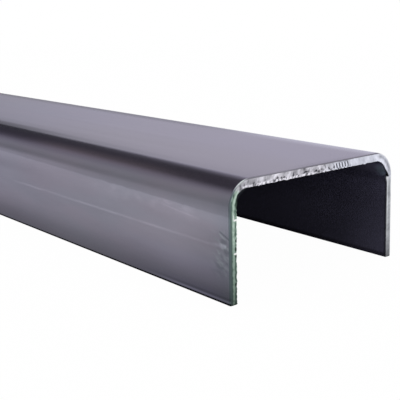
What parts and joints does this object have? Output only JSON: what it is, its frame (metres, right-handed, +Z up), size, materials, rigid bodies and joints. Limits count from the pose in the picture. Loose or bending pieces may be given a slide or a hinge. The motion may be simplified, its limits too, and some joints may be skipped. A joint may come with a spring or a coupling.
{
  "type": "steel u-channel",
  "caption": "Straight length of cold-formed steel u-channel with a flat web, two equal flanges and rounded bends, cut square at both ends.",
  "frame": {"origin": "on the floor, under the middle of the web and halfway along the length, with the toes of both flanges at Z = 0", "axes": "+X across the web, +Y along the length, +Z up through the web; the end that the picture shows is the one at -Y"},
  "size_m": [0.08, 1, 0.04],
  "materials": {
    "mill_steel": "satin"
  },
  "bodies": {
    "root": {"steel_channel": "mill_steel"}
  },
  "joints": []
}
